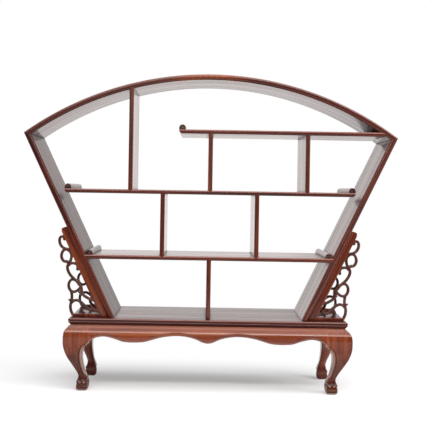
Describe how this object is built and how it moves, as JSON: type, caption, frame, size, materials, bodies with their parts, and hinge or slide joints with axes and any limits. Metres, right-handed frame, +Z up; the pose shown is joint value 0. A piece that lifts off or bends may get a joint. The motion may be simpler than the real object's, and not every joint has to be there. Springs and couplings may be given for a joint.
{
  "type": "display shelf",
  "caption": "Fan-shaped open display shelf of lacquered hardwood on a low stand with cabriole legs, with stepped compartments and pierced scroll brackets.",
  "frame": {"origin": "on the floor under the middle of the stand", "axes": "+X to the right along the width, +Y to the back, +Z up"},
  "size_m": [0.66, 0.178, 0.5599],
  "materials": {
    "lacquered_rosewood": "gloss lacquer over reddish brown rosewood",
    "bare_hardwood": "unfinished",
    "bamboo": "unfinished"
  },
  "bodies": {
    "root": {"left_side_board": "lacquered_rosewood", "right_side_board": "lacquered_rosewood", "arch_board": "lacquered_rosewood", "base_slab": "lacquered_rosewood", "upper_shelf": "lacquered_rosewood", "middle_shelf": "lacquered_rosewood", "lower_shelf": "lacquered_rosewood", "upper_shelf_roll": "lacquered_rosewood", "middle_shelf_left_roll": "lacquered_rosewood", "middle_shelf_right_roll": "lacquered_rosewood", "lower_shelf_left_roll": "lacquered_rosewood", "lower_shelf_right_roll": "lacquered_rosewood", "upper_left_divider": "lacquered_rosewood", "upper_middle_divider": "lacquered_rosewood", "upper_right_divider": "lacquered_rosewood", "middle_left_divider": "lacquered_rosewood", "middle_right_divider": "lacquered_rosewood", "lower_divider": "lacquered_rosewood", "front_left_bracket": "lacquered_rosewood", "front_right_bracket": "lacquered_rosewood", "rear_left_bracket": "lacquered_rosewood", "rear_right_bracket": "lacquered_rosewood", "front_left_leg": "lacquered_rosewood", "front_right_leg": "lacquered_rosewood", "rear_left_leg": "lacquered_rosewood", "rear_right_leg": "lacquered_rosewood", "front_apron": "lacquered_rosewood", "rear_apron": "lacquered_rosewood", "left_apron": "lacquered_rosewood", "right_apron": "lacquered_rosewood", "corner_splines": "bare_hardwood", "glue_blocks": "bare_hardwood", "bracket_pins": "bamboo"}
  },
  "joints": []
}
